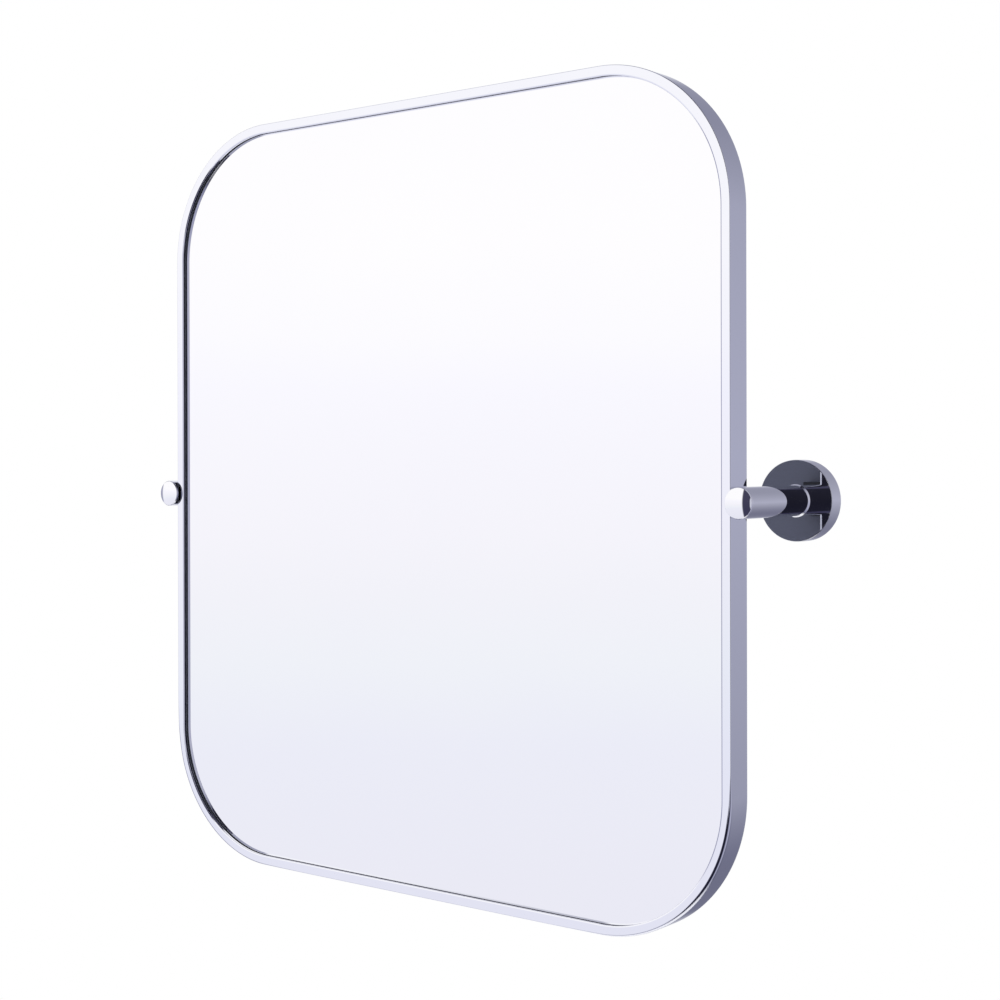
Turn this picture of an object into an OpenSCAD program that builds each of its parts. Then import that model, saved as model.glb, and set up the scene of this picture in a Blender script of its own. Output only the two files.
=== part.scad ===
// Pivot wall mirror: a rounded-rectangle mirror in a channel frame, hung between two round
// wall posts, tilting about a level axis through both posts.
// Millimetres. Z is up. The wall is the plane Y = 0, and the mirror faces -Y.
// The origin is midway between the two wall brackets, on the wall.

/* [Frame] */
// Width over the frame
frame_w = 540; // [420:5:700]
// Height over the frame
frame_h = 600; // [460:5:800]
// Depth of the frame's side
frame_depth = 21; // [19:0.5:30]
// Radius of the frame's outer corners
corner_r = 105; // [60:1:125]
// Width of the front lip
lip_w = 7.5; // [6:0.5:14]
// Depth of the hem that folds back from the lip's inner edge
lip_hem = 2.6; // [2.2:0.1:4]
// How far the hem's end leans out under the lip
hem_lean = 0.4; // [0:0.1:0.6]
// Thickness of the frame's sheet
sheet_t = 1.2; // [0.8:0.1:1.6]
// Chamfer on the frame's front edges
frame_edge = 0.5; // [0.2:0.1:0.7]

/* [Glass and back] */
// Thickness of the mirror glass
glass_t = 4; // [3:0.5:6]
// Gap between the glass's edge and the frame's side
glass_side_gap = 0.5; // [0.3:0.1:1.5]
// Gap between the lip's hem and the glass
hem_gap = 1.2; // [0.4:0.1:1.5]
// Thickness of the foam behind the glass
foam_t = 0.6; // [0.4:0.1:2]
// Margin of the foam inside the glass's edge
foam_margin = 12; // [5:1:30]
// Thickness of the backing board
board_t = 3; // [2.5:0.5:4]
// Gap between the glazing tape and the lip's hem
tape_gap = 0.2; // [0.1:0.1:0.5]

/* [Retaining clips] */
// Width of a clip
clip_w = 14; // [10:1:24]
// Length of the clip's leg on the board
clip_leg = 13; // [11:0.5:20]
// Height of the clip's leg on the frame's side
clip_rise = 7; // [4:0.5:7.5]
// Thickness of the clip's steel
clip_t = 1.2; // [0.8:0.1:1.5]
// Distance of the side clips above and below the pivots
side_clip_z = 125; // [60:5:140]
// Distance of the top and bottom clips from the middle
end_clip_x = 105; // [40:5:110]
// Shank diameter of a clip screw
clip_screw_d = 3; // [2:0.1:3.5]
// Head diameter of a clip screw
clip_screw_head_d = 5.6; // [5:0.1:7]
// Head height of a clip screw
clip_screw_head_h = 1.8; // [1.2:0.1:3]
// Depth of a clip screw in the board
clip_screw_bite = 2.4; // [1.5:0.1:2.4]

/* [Pivots] */
// Distance from the wall to the pivot axis
pivot_standoff = 70; // [69:1:110]
// Diameter of the pivot pin
pin_d = 8; // [6:0.5:8]
// Thread diameter of the pivot pin
pin_thread_d = 6; // [4:0.5:6]
// Depth of the pin in the post
pin_reach = 10; // [8:0.5:10.5]
// Diameter of the pin's collar
pin_collar_d = 14; // [12:0.5:15]
// Thickness of the pin's collar
pin_collar_t = 1; // [0.8:0.1:1.5]
// Size across the flats of the socket in the pin's end
pin_socket_af = 4; // [3:0.5:4]
// Depth of the socket in the pin's end
pin_socket_depth = 4; // [2:0.5:5]
// Running clearance between pin and bush, on the radius
pin_clearance = 0.05; // [0.01:0.01:0.1]
// Outer diameter of the nylon bush
bush_d = 13; // [11:0.5:13.5]
// Clearance between the bush's end and the blind bore's floor
bush_end_gap = 0.5; // [0.2:0.1:1]
// Thickness of the nylon thrust washer
thrust_washer_t = 0.8; // [0.5:0.1:1.2]
// Play between the thrust washer and the post
side_play = 0.2; // [0.2:0.05:0.4]
// Width of the pivot boss, across the mirror
boss_w = 14; // [10:0.5:20]
// Height of the pivot boss
boss_h = 24; // [18:1:60]
// Depth of the pivot boss
boss_depth = 9; // [8.5:0.1:9.5]
// Size across the flats of the lock nut
nut_af = 9; // [8.5:0.5:9]
// Height of the lock nut
nut_h = 5; // [4:0.5:6]
// Length of thread that stands past the lock nut
thread_past_nut = 1.5; // [0.5:0.5:4]
// Largest tilt each way, in degrees
tilt_max = 10; // [6:1:12]
// Gap kept around the tilting frame at its limits
tilt_gap = 0.2; // [0.2:0.05:0.6]

/* [Posts] */
// Diameter of a post
post_d = 21; // [20:0.5:24]
// Distance from the frame's side out to the post's axis
post_offset = 7.5; // [7:0.1:8.5]
// Chamfer on the post's front edge
post_edge = 0.3; // [0.1:0.1:0.5]
// Thickness of the end cap at the post's front
cap_t = 1.5; // [1.2:0.1:4]
// Chamfer on the end cap's front edge
cap_edge = 0.4; // [0.2:0.1:0.6]
// Radius of the end cap's domed face
cap_dome_r = 40; // [20:1:80]
// Diameter of the threaded spigot behind the end cap
cap_spigot_d = 8; // [7:0.5:9]
// Length of the end cap's spigot
cap_spigot_l = 3; // [2:0.5:3]
// Depth of the friction plug's seat on the round of the pin
plug_seat = 1.5; // [0.5:0.1:2.5]
// Height of the tension screw
tension_screw_h = 2.6; // [2:0.1:3]
// Size across the flats of the tension screw's socket
tension_socket_af = 4; // [2.5:0.5:4]
// Depth of the tension screw's socket
tension_socket_depth = 1.6; // [1:0.1:1.8]
// Thickness of one disc spring
spring_t = 0.4; // [0.3:0.05:0.5]
// Dish height of one disc spring
spring_dish = 0.3; // [0.2:0.05:0.4]
// Hole diameter of a disc spring
spring_bore_d = 3.2; // [2.5:0.1:4]
// Number of disc springs in a stack
spring_count = 2; // [1:1:2]
// Radial clearance of the pieces in the post's front bore
bore_clearance = 0.05; // [0.02:0.01:0.1]
// Flare at the post's foot, where it meets the flange
foot_flare = 0.8; // [0.2:0.1:1.5]
// Diameter of the spigot at the post's wall end
post_spigot_d = 12; // [10:0.5:14]

/* [Wall flanges] */
// Diameter of a wall flange
flange_d = 56; // [52:1:75]
// Height of a wall flange
flange_t = 12.5; // [11.5:0.5:18]
// Thickness of the flange's face
flange_face_t = 3; // [2.5:0.1:3.5]
// Thickness of the flange's rim
flange_rim_t = 2; // [1.5:0.1:3]
// Chamfer on the flange's front edge
flange_edge = 0.5; // [0.2:0.1:1]
// Diameter of the post screw
post_screw_d = 6; // [5:0.5:6]
// Length of the post screw in the post
post_screw_bite = 12; // [8:1:16]
// Head diameter of the post screw
post_screw_head_d = 10; // [9:0.5:10]
// Head height of the post screw
post_screw_head_h = 5; // [4:0.5:5.5]
// Size across the flats of the post screw's socket
post_socket_af = 5; // [4:0.5:5]
// Depth of the post screw's socket
post_socket_depth = 3; // [2:0.5:3.5]
// Diameter of the washer under the post screw's head
post_washer_d = 14; // [12.5:0.5:16]
// Thickness of that washer
post_washer_t = 1.2; // [0.8:0.1:1.6]

/* [Wall brackets] */
// Thickness of a wall bracket
bracket_t = 6; // [5:0.5:7]
// Radial gap between the bracket and the flange's rim
bracket_gap = 0.4; // [0.2:0.1:1]
// Diameter of the bracket's middle hole
bracket_hole_d = 16; // [15:0.5:18]
// Distance between the two wall screws of a bracket
wall_screw_pitch = 34; // [32:0.5:36]
// Diameter of the wall screw holes
wall_screw_hole_d = 4.8; // [4:0.1:5.5]
// Diameter of the recess for a wall screw's head
wall_screw_recess_d = 9; // [8.5:0.1:9.5]
// Depth of that recess
wall_screw_recess_depth = 3; // [2:0.1:3.5]
// Depth of the locking groove around the bracket
groove_depth = 1; // [0.5:0.1:1.5]
// Diameter of the grub screw
grub_d = 4; // [3:0.5:4]
// Diameter of the flat end of the grub screw's cone point
grub_point_d = 1; // [0.6:0.1:1.4]
// Size across the flats of the grub screw's socket
grub_socket_af = 2; // [1.5:0.5:2]
// Depth of the grub screw's socket
grub_socket_depth = 1.4; // [0.8:0.1:1.6]

/* [Hidden] */
$fn = 96;

// Radial clearance of a screw in its own threaded or drilled hole
screw_fit = 0.05;
// How far a cut runs past the face that it opens
cut = 1;
// Sides of a hexagon, and the ratio of its corner circle to its flats
hex_sides = 6;
hex_ratio = 1 / cos(180 / hex_sides);
// Edge breaks on the small turned and nylon pieces
small_edge = 0.4;

// Depths behind the lip's front face, in the order of the stack
tape_front = sheet_t;
glass_front = lip_hem + hem_gap;
foam_front = glass_front + glass_t;
board_front = foam_front + foam_t;
board_back = board_front + board_t;
boss_centre = board_back + boss_depth / 2;

// The lip's front face and the frame's back edge, measured from the wall
lip_y = -(pivot_standoff + boss_centre);
frame_back_y = lip_y + frame_depth;
pivot_y = -pivot_standoff;

// Outline of the glass and of what lies behind it, inside the frame's side
glass_inset = sheet_t + glass_side_gap;
tape_inner = lip_w - hem_lean - sheet_t - tape_gap;

// The post's axis, and the flat on its inner side that faces the frame
side_x = frame_w / 2;
post_x = side_x + post_offset;
flat_x = side_x + pin_collar_t + thrust_washer_t + side_play;
post_r = post_d / 2;
// Half the height over which the round of the post overlaps the frame's edge
overlap_half = sqrt(post_r * post_r - post_offset * post_offset);

// How far the tilting frame comes forward of the lip and back of the frame's back edge
// within that overlap: the frame's edge is a straight bar that turns about the pivot.
front_lever = boss_centre;
back_lever = frame_depth - boss_centre;
swing_front = front_lever * (1 / cos(tilt_max) - 1) + overlap_half * tan(tilt_max);
swing_back = back_lever * (1 / cos(tilt_max) - 1) + overlap_half * tan(tilt_max);
cap_rear_y = lip_y - swing_front - tilt_gap;
// The post's flat reaches past the swinging frame and past the pin's collar
flat_end_y = max(frame_back_y + swing_back, pivot_y + pin_collar_d / 2) + tilt_gap;
cap_front_y = cap_rear_y - cap_t;
// Height of the cap's dome over its rim
cap_dome_h = cap_dome_r - sqrt(cap_dome_r * cap_dome_r - post_r * post_r);

// Pin and bush
pin_r = pin_d / 2;
thread_r = pin_thread_d / 2;
bush_r = bush_d / 2;
pin_end_x = flat_x + pin_reach;
blind_bore_end_x = pin_end_x + 2 * bush_end_gap;
bush_end_x = pin_end_x + bush_end_gap;
boss_in_x = side_x - sheet_t - boss_w;
nut_in_x = boss_in_x - nut_h;

// The stack in the post's front bore, from the cap back to the pin
front_bore_r = cap_spigot_d / 2;
plug_r = front_bore_r - bore_clearance;
spigot_end_y = cap_rear_y + cap_spigot_l;
screw_top_y = spigot_end_y;
screw_end_y = screw_top_y + tension_screw_h;
spring_pitch = spring_t + spring_dish;
springs_end_y = screw_end_y + spring_count * spring_pitch;

// Flange, bracket and their screws
flange_y = -flange_t;
flange_r = flange_d / 2;
cup_r = flange_r - flange_rim_t;
cup_floor_y = flange_y + flange_face_t;
post_spigot_l = flange_face_t - screw_fit;
post_spigot_r = post_spigot_d / 2;
bracket_r = cup_r - bracket_gap;
groove_floor_r = bracket_r - groove_depth;
groove_y = -bracket_t / 2;
// The grub screw's point is a 45 degree cone, and the groove's walls slope as it does.
groove_floor_half = grub_point_d / 2 + screw_fit;
grub_cone_l = (grub_d - grub_point_d) / 2;
grub_tip_r = groove_floor_r + screw_fit;
grub_len = flange_r - small_edge - grub_tip_r;

// Places of the clips, each [x, z, turn], at the inner face of the frame's side
clip_places = [
    for (s = [-1, 1]) each [
        [side_x - sheet_t, s * side_clip_z, 180],
        [sheet_t - side_x, s * side_clip_z, 0],
        [s * end_clip_x, frame_h / 2 - sheet_t, 270],
        [s * end_clip_x, sheet_t - frame_h / 2, 90]
    ]
];
// The clip's screw sits midway between its upturned leg and its tip
clip_screw_x = (clip_t + clip_leg) / 2;

// ---------- Shared shapes ----------

// Stands a piece up: drawn in XY with its depth along Z, it ends in XZ with its depth
// running from y0 towards the wall.
module upright(y0) {
    translate([0, y0, 0]) rotate([90, 0, 0]) mirror([0, 0, 1]) children();
}

// A piece of the right-hand pivot, or its mirror image for the left-hand one.
module on_side(side) {
    mirror([side == "left" ? 1 : 0, 0, 0]) children();
}

// A turned piece about the line X = post_x, Z = 0, with its profile's height along +Y from y0.
module along_post(y0) {
    translate([post_x, y0, 0]) rotate([-90, 0, 0]) children();
}

// A turned piece about the pivot axis, with its profile's height along +X from x0.
module along_pivot(x0) {
    translate([x0, pivot_y, 0]) rotate([0, 90, 0]) children();
}

// Rounded rectangle, inset from the frame's outer outline.
module outline(inset) {
    r = corner_r - inset;
    half_w = frame_w / 2 - corner_r;
    half_h = frame_h / 2 - corner_r;
    square([2 * half_w, 2 * (half_h + r)], center = true);
    square([2 * (half_w + r), 2 * half_h], center = true);
    for (x = [-half_w, half_w], y = [-half_h, half_h])
        translate([x, y]) circle(r = r);
}

// A plate with the frame's outline.
module plate(inset, thickness) {
    linear_extrude(height = thickness) outline(inset);
}

// A ring that carries a profile around the frame: the profile's x is measured inwards from
// the outer side, and its y is the depth behind the lip's front face.
module ring(profile) {
    half_w = frame_w / 2 - corner_r;
    half_h = frame_h / 2 - corner_r;
    corner = [for (p = profile) [corner_r - p[0], p[1]]];
    for (k = [0:3]) {
        flip_x = (k == 0 || k == 3) ? 1 : -1;
        flip_y = k < 2 ? 1 : -1;
        run = k % 2 == 0 ? half_h : half_w;
        translate([flip_x * half_w, flip_y * half_h, 0]) rotate([0, 0, 90 * k]) {
            rotate_extrude(angle = 90) polygon(corner);
            rotate([90, 0, 0]) linear_extrude(height = 2 * run) polygon(corner);
        }
    }
}

// A disc with chamfered edges at its start and its end.
module turned(r, h, start_edge = 0, end_edge = 0) {
    rotate_extrude() polygon([
        [0, 0], [r - start_edge, 0], [r, start_edge],
        [r, h - end_edge], [r - end_edge, h], [0, h]
    ]);
}

// A washer or a bush: a turned piece with a bore through it.
module turned_ring(r, bore_r, h, edge = 0) {
    rotate_extrude() polygon([
        [bore_r, 0], [r - edge, 0], [r, edge], [r, h - edge], [r - edge, h], [bore_r, h]
    ]);
}

// A hexagon of the given size across its flats.
module hex(af, h) {
    cylinder(r = af / 2 * hex_ratio, h = h, $fn = hex_sides);
}

// ---------- The mirror ----------

module frame() {
    profile = [
        [0, frame_edge], [frame_edge, 0], [lip_w - frame_edge, 0], [lip_w, frame_edge],
        [lip_w - hem_lean, lip_hem], [lip_w - hem_lean - sheet_t, lip_hem],
        [lip_w - sheet_t, sheet_t],
        [sheet_t, sheet_t], [sheet_t, frame_depth], [0, frame_depth]
    ];
    color("#c9cad6") difference() {
        upright(lip_y) ring(profile);
        for (side = ["left", "right"])
            on_side(side) along_pivot(side_x - sheet_t - cut)
                cylinder(r = thread_r + screw_fit, h = sheet_t + 2 * cut);
    }
}

module mirror_glass() {
    color("#e9eaf5") upright(lip_y + glass_front) plate(glass_inset, glass_t);
}

module glazing_tape() {
    profile = [
        [glass_inset, tape_front], [tape_inner, tape_front],
        [tape_inner, glass_front], [glass_inset, glass_front]
    ];
    color("#6c7078") upright(lip_y) ring(profile);
}

module foam_sheet() {
    color("#f2f2ee") upright(lip_y + foam_front) plate(glass_inset + foam_margin, foam_t);
}

module backing_board() {
    color("#3c3f47") difference() {
        upright(lip_y + board_front) plate(glass_inset, board_t);
        at_clip_screws(board_back - clip_screw_bite - screw_fit)
            cylinder(r = clip_screw_d / 2 + screw_fit, h = clip_screw_bite + cut);
    }
}

// Repeats a piece at each clip: x runs inwards along the board, y across the clip.
module at_clips(depth) {
    upright(lip_y + depth)
        for (p = clip_places)
            translate([p[0], p[1], 0]) rotate([0, 0, p[2]]) children();
}

module at_clip_screws(depth) {
    at_clips(depth) translate([clip_screw_x, 0, 0]) children();
}

module retaining_clips() {
    color("#b9bcc2") difference() {
        at_clips(board_back) {
            translate([0, -clip_w / 2, 0]) cube([clip_leg, clip_w, clip_t]);
            translate([0, -clip_w / 2, 0]) cube([clip_t, clip_w, clip_rise]);
        }
        at_clip_screws(board_back - cut)
            cylinder(r = clip_screw_d / 2 + screw_fit, h = clip_t + 2 * cut);
    }
}

module clip_screws() {
    slot_w = clip_screw_head_h / 3;
    color("#9a9da4") difference() {
        union() {
            at_clip_screws(board_back - clip_screw_bite)
                cylinder(r = clip_screw_d / 2, h = clip_screw_bite + clip_t + small_edge);
            at_clip_screws(board_back + clip_t)
                turned(clip_screw_head_d / 2, clip_screw_head_h, 0, small_edge);
        }
        at_clip_screws(board_back + clip_t + clip_screw_head_h - slot_w) {
            translate([-clip_screw_head_d / 3, -slot_w / 2, 0])
                cube([clip_screw_head_d * 2 / 3, slot_w, slot_w + cut]);
            translate([-slot_w / 2, -clip_screw_head_d / 3, 0])
                cube([slot_w, clip_screw_head_d * 2 / 3, slot_w + cut]);
        }
    }
}

// ---------- The pivots, on the mirror ----------

module pivot_boss(side) {
    color("#3b3c41") on_side(side) difference() {
        translate([boss_in_x, pivot_y - boss_depth / 2, -boss_h / 2])
            cube([boss_w, boss_depth, boss_h]);
        along_pivot(boss_in_x - cut) cylinder(r = thread_r + screw_fit, h = boss_w + 2 * cut);
    }
}

// The pin's thread clamps the frame's side between the boss and the pin's collar.
module pivot_pin(side) {
    thread_x = nut_in_x - thread_past_nut;
    collar_end = side_x + pin_collar_t - thread_x;
    collar_start = side_x - thread_x;
    pin_end = pin_end_x - thread_x;
    color("#b4b7bf") on_side(side) difference() {
        along_pivot(thread_x) rotate_extrude() polygon([
            [0, 0], [thread_r - small_edge, 0], [thread_r, small_edge], [thread_r, collar_start],
            [pin_collar_d / 2, collar_start], [pin_collar_d / 2, collar_end],
            [pin_r, collar_end], [pin_r, pin_end - small_edge], [pin_r - small_edge, pin_end],
            [0, pin_end]
        ]);
        along_pivot(pin_end_x - pin_socket_depth) hex(pin_socket_af, pin_socket_depth + cut);
    }
}

module pin_nut(side) {
    color("#a6a9b1") on_side(side) difference() {
        along_pivot(nut_in_x) hex(nut_af, nut_h);
        along_pivot(nut_in_x - cut) cylinder(r = thread_r + screw_fit, h = nut_h + 2 * cut);
    }
}

module thrust_washer(side) {
    color("#efefe8") on_side(side) along_pivot(side_x + pin_collar_t)
        turned_ring(pin_collar_d / 2, pin_r + screw_fit, thrust_washer_t);
}

// ---------- The pivots, in the posts ----------

module pivot_bush(side) {
    color("#f4f4ee") on_side(side) difference() {
        along_pivot(flat_x)
            turned_ring(bush_r - bore_clearance, pin_r + pin_clearance, bush_end_x - flat_x);
        along_post(pivot_y - bush_r - cut) cylinder(r = front_bore_r, h = bush_r + cut);
    }
}

// The plug's nose is hollowed to the pin's round.
module friction_plug(side) {
    color("#e8e8e0") on_side(side) difference() {
        along_post(springs_end_y)
            turned(plug_r, pivot_y - pin_r + plug_seat - springs_end_y, small_edge, 0);
        along_pivot(side_x) cylinder(r = pin_r + pin_clearance, h = pin_end_x - side_x + cut);
    }
}

// Dished washers, stacked crown to rim, each reaching the next.
module disc_springs(side) {
    bore = spring_bore_d / 2;
    crown_r = (plug_r + bore) / 2;
    color("#7d8088") on_side(side)
        for (k = [0 : spring_count - 1])
            along_post(screw_end_y + k * spring_pitch) rotate_extrude() polygon([
                [bore, 0], [crown_r, 0], [plug_r, spring_dish], [plug_r, spring_pitch],
                [crown_r, spring_t], [bore, spring_t]
            ]);
}

module tension_screw(side) {
    color("#6f727a") on_side(side) difference() {
        along_post(screw_top_y) turned(plug_r, tension_screw_h, small_edge / 2, small_edge / 2);
        along_post(screw_top_y - cut) hex(tension_socket_af, tension_socket_depth + cut);
    }
}

// The cap's face is a shallow dome that starts at its rim, inside a 45 degree chamfer.
module end_cap(side) {
    apex = -cap_dome_h - cut;
    color("#f0f1f8") on_side(side) {
        intersection() {
            along_post(cap_front_y) rotate_extrude() polygon([
                [0, apex], [post_r - cap_edge + apex, apex], [post_r, cap_edge],
                [post_r, cap_t], [0, cap_t]
            ]);
            along_post(cap_front_y - cap_dome_h + cap_dome_r)
                sphere(r = cap_dome_r, $fn = 2 * $fn);
        }
        along_post(cap_rear_y) cylinder(r = plug_r, h = cap_spigot_l);
    }
}

module post(side) {
    post_l = flange_y - cap_rear_y;
    color("#a3a5b8") on_side(side) difference() {
        union() {
            along_post(cap_rear_y) rotate_extrude() polygon([
                [0, 0], [post_r - post_edge, 0], [post_r, post_edge],
                [post_r, post_l - foot_flare], [post_r + foot_flare, post_l], [0, post_l]
            ]);
            along_post(flange_y) cylinder(r = post_spigot_r, h = post_spigot_l);
        }
        translate([post_x - post_d, cap_rear_y - cut, -post_d])
            cube([flat_x - post_x + post_d, flat_end_y - cap_rear_y + cut, 2 * post_d]);
        along_pivot(flat_x - cut) cylinder(r = bush_r, h = blind_bore_end_x - flat_x + cut);
        along_post(cap_rear_y - cut)
            cylinder(r = front_bore_r, h = pivot_y - cap_rear_y + cut);
        along_post(flange_y - post_screw_bite - cut)
            cylinder(r = post_screw_d / 2 + screw_fit, h = post_screw_bite + post_spigot_l + 2 * cut);
    }
}

// ---------- The wall side ----------

module wall_flange(side) {
    color("#6a6f84") on_side(side) difference() {
        along_post(flange_y) rotate_extrude() polygon([
            [post_spigot_r + screw_fit, 0], [flange_r - flange_edge, 0], [flange_r, flange_edge],
            [flange_r, flange_t], [cup_r, flange_t], [cup_r, flange_face_t],
            [post_spigot_r + screw_fit, flange_face_t]
        ]);
        at_grub(cup_r - cut) cylinder(r = grub_d / 2 + screw_fit, h = flange_rim_t + 2 * cut);
    }
}

// A place on the underside of the flange's rim, at a radius from the post's axis.
module at_grub(radius) {
    translate([post_x, groove_y, -radius]) rotate([180, 0, 0]) children();
}

module grub_screw(side) {
    color("#5c5f67") on_side(side) difference() {
        at_grub(grub_tip_r) turned(grub_d / 2, grub_len, grub_cone_l, 0);
        at_grub(grub_tip_r + grub_len - grub_socket_depth) hex(grub_socket_af, grub_socket_depth + cut);
    }
}

module post_washer(side) {
    color("#a9acb3") on_side(side) along_post(cup_floor_y)
        turned_ring(post_washer_d / 2, post_screw_d / 2 + screw_fit, post_washer_t);
}

module post_screw(side) {
    head_y = cup_floor_y + post_washer_t;
    head_end = head_y + post_screw_head_h;
    shank_y = flange_y - post_screw_bite;
    color("#55585f") on_side(side) difference() {
        union() {
            along_post(shank_y) turned(post_screw_d / 2, head_y - shank_y + small_edge, small_edge, 0);
            along_post(head_y) turned(post_screw_head_d / 2, post_screw_head_h, 0, small_edge);
        }
        along_post(head_end - post_socket_depth) hex(post_socket_af, post_socket_depth + cut);
    }
}

module wall_bracket(side) {
    middle = bracket_t / 2;
    color("#9ea1a8") on_side(side) difference() {
        along_post(-bracket_t) rotate_extrude() polygon([
            [bracket_hole_d / 2, 0], [bracket_r - small_edge, 0], [bracket_r, small_edge],
            [bracket_r, middle - groove_floor_half - groove_depth],
            [groove_floor_r, middle - groove_floor_half],
            [groove_floor_r, middle + groove_floor_half],
            [bracket_r, middle + groove_floor_half + groove_depth],
            [bracket_r, bracket_t], [bracket_hole_d / 2, bracket_t]
        ]);
        for (s = [-1, 1]) translate([0, 0, s * wall_screw_pitch / 2]) {
            along_post(-bracket_t - cut) cylinder(d = wall_screw_hole_d, h = bracket_t + 2 * cut);
            along_post(-bracket_t - cut)
                cylinder(d = wall_screw_recess_d, h = wall_screw_recess_depth + cut);
        }
    }
}

// ---------- Assembly ----------

frame();
mirror_glass();
glazing_tape();
foam_sheet();
backing_board();
retaining_clips();
clip_screws();
for (side = ["left", "right"]) {
    pivot_boss(side);
    pivot_pin(side);
    pin_nut(side);
    thrust_washer(side);
    pivot_bush(side);
    friction_plug(side);
    disc_springs(side);
    tension_screw(side);
    end_cap(side);
    post(side);
    wall_flange(side);
    post_screw(side);
    post_washer(side);
    wall_bracket(side);
    grub_screw(side);
}
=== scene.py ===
"""Looks of the pivot wall mirror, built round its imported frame.

A silvered glass sits in a polished channel frame, which tilts between two chromed wall posts.
Sizes are in millimetres in the classes below and in metres in Blender. The wall is Y = 0,
Z is up, and the mirror faces -Y.
"""

from __future__ import annotations

import logging
import math
from dataclasses import dataclass
from enum import Enum

import bmesh
import bpy
import numpy as np
from mathutils import Matrix


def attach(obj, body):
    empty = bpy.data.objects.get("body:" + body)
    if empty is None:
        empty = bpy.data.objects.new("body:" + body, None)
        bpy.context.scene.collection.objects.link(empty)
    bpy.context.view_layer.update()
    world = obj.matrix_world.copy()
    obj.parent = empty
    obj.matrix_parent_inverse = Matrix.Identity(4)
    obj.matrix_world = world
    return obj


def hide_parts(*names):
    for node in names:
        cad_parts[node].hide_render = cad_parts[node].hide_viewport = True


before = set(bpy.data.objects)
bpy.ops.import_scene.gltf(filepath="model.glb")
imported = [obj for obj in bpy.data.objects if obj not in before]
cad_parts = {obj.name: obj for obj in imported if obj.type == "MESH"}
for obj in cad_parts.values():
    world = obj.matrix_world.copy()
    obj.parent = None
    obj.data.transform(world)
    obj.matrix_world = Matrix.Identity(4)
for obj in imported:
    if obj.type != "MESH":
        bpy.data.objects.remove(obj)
log = logging.getLogger("wall_mirror")

MM = 0.001
# Points closer than this, in metres, are one point: on a grid, and along a cut
WELD = 1e-6
CUT_WELD = 5e-6
# The smallest angle between two faces whose edge is drawn sharp
SHARP = math.radians(34)
# In millimetres: from an arc to its guard point, radial play of a screw or pin in its hole,
# and how far a cutter stands out of the surface that it cuts
GUARD = 0.03
PLAY = 0.05
OVERCUT = 1
# Where the product of the two noises of a finish mostly lies
NOISE_RANGE = (0.1, 0.5)
MIRROR_BODY = "mirror"
WALL_BODY = "wall_mounts"
IMAGE_PX = 1000
SENSOR_MM = 36.0

Row = tuple[float, ...]
Sockets = dict[str, object]


# ---------- Nodes and colours ----------


def linear(hex_colour: str) -> tuple[float, float, float, float]:
    """Turns an sRGB hex colour into linear light.

    Args:
        hex_colour: The colour as "#rrggbb".

    Returns:
        Linear red, green and blue, and an alpha of one.
    """
    srgb = np.array([int(hex_colour[k : k + 2], 16) for k in (1, 3, 5)]) / 255
    light = np.where(srgb <= 0.04045, srgb / 12.92, ((srgb + 0.055) / 1.055) ** 2.4)
    return (float(light[0]), float(light[1]), float(light[2]), 1.0)


class Graph:
    """The node tree of a material or of the world, emptied and built anew."""

    def __init__(self, owner: bpy.types.Material | bpy.types.World) -> None:
        """Empties the owner's tree."""
        owner.use_nodes = True
        self.tree = owner.node_tree
        self.tree.nodes.clear()

    def node(self, kind: str, inputs: Sockets | None = None, **settings: object) -> bpy.types.Node:
        """Adds one node, sets it up and feeds its sockets.

        Args:
            kind: The node's type without "ShaderNode" before it, such as "TexNoise".
            inputs: Socket names or numbers, each with a value or with the socket that feeds it.
            **settings: Properties of the node itself.

        Returns:
            The new node.
        """
        node = self.tree.nodes.new("ShaderNode" + kind)
        for name, value in settings.items():
            setattr(node, name, value)
        for name, value in (inputs or {}).items():
            socket = node.inputs[name]
            if isinstance(value, bpy.types.NodeSocket):
                self.tree.links.new(value, socket)
            else:
                socket.default_value = value
        return node

    def add(self, kind: str, output: str | int, inputs: Sockets | None = None, **settings: object
            ) -> bpy.types.NodeSocket:
        """Adds one node and gives one of its outputs."""
        return self.node(kind, inputs, **settings).outputs[output]

    def math_of(self, kind: str, first: object, second: object = 0.0) -> bpy.types.NodeSocket:
        """One Math node's result."""
        return self.add("Math", "Value", {0: first, 1: second}, operation=kind)

    def step_of(self, value: object, low: float, high: float) -> bpy.types.NodeSocket:
        """A soft step from 0 at low to 1 at high."""
        return self.add("MapRange", "Result", {"Value": value, 1: low, 2: high},
                        interpolation_type="SMOOTHSTEP")

    def blend_of(self, share: object, first: object, second: object, kind: str = "MIX"
                 ) -> bpy.types.NodeSocket:
        """A mix of two colours."""
        return self.add("Mix", 2, {"Factor": share, 6: first, 7: second}, data_type="RGBA",
                        blend_type=kind)

    def ramp_of(self, value: object, stops: list[tuple[float, str]]) -> bpy.types.NodeSocket:
        """A colour ramp over a value.

        Args:
            value: The value.
            stops: Values in rising order, each with its sRGB hex colour. The ramp runs from
                the first to the last.

        Returns:
            The ramp's colour.
        """
        low, high = stops[0][0], stops[-1][0]
        share = self.add("MapRange", "Result", {"Value": value, 1: low, 2: high})
        node = self.node("ValToRGB", {"Fac": share})
        elements = node.color_ramp.elements
        while len(elements) < len(stops):
            elements.new(1.0)
        for element, (place, colour) in zip(elements, stops):
            element.position = (place - low) / (high - low)
            element.color = linear(colour)
        return node.outputs["Color"]


# ---------- Finishes ----------


class Grain(Enum):
    """How the fine pattern of a finish lies, as stretches of its noise along X, Y and Z."""

    EVEN = (1.0, 1.0, 1.0)
    ALONG_X = (0.04, 1.0, 1.0)
    ALONG_Z = (1.0, 1.0, 0.04)


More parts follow.
